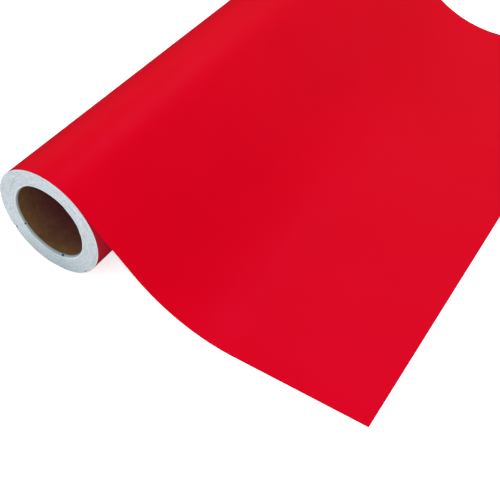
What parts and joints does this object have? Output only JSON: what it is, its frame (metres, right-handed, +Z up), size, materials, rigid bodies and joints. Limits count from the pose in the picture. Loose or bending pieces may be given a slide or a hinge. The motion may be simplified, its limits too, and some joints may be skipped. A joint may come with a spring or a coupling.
{
  "type": "roll of sign vinyl",
  "caption": "Roll of self-adhesive sign vinyl on a board core, its free end run out flat over a table; the roll turns and pays out, the end lifts and the film peels off its liner.",
  "frame": {"origin": "middle of the core's bore, on its axis", "axes": "+Y along the roll, +X the way the free end runs out, +Z up, with the table 56.45 mm below the origin"},
  "size_m": [0.3815, 0.61, 0.1134],
  "materials": {
    "vinyl_film": "semi-gloss calendered film",
    "release_liner": "smooth coated paper",
    "wound_web": "slit edges of film and liner",
    "grey_board": "pale grey board",
    "kraft_board": "brown kraft paper",
    "masking_tape": "crepe paper tape"
  },
  "bodies": {
    "web": {"outer_lap_liner": "release_liner", "outer_lap_film": "vinyl_film"},
    "roll": {"core_inner_ply": "kraft_board", "core_ply_2": "grey_board", "core_ply_3": "grey_board", "core_ply_4": "grey_board", "core_ply_5": "grey_board", "core_ply_6": "grey_board", "core_outer_ply": "grey_board", "start_tape_near": "masking_tape", "start_tape_middle": "masking_tape", "start_tape_far": "masking_tape", "first_turn_liner": "release_liner", "first_turn_film": "vinyl_film", "wound_turns": "wound_web", "last_turn_liner": "release_liner", "last_turn_film": "vinyl_film"},
    "lead": {"lead_liner": "release_liner", "lead_film": "vinyl_film"},
    "flap": {"flap_liner": "release_liner", "flap_film": "vinyl_film"},
    "peel": {"peel_film": "vinyl_film"}
  },
  "joints": [
    {"name": "roll_spin", "type": "hinge", "parent": "web", "child": "roll", "pos_m": [0, 0, 0], "axis": [0, 1, 0], "range_deg": [0, 360]},
    {"name": "web_payout", "type": "slide", "parent": "web", "child": "lead", "axis": [1, 0, 0], "range_m": [0, 0.358]},
    {"name": "lead_lift", "type": "hinge", "parent": "lead", "child": "flap", "pos_m": [0.24, 0, -0.0562], "axis": [0, -1, 0], "range_deg": [0, 90]},
    {"name": "film_peel", "type": "hinge", "parent": "flap", "child": "peel", "pos_m": [0.274, 0, -0.0562], "axis": [0, -1, 0], "range_deg": [0, 120]}
  ],
  "couplings": [
    {"joint": "web_payout", "follows": "roll_spin", "m_per_rad": 0.056875}
  ]
}
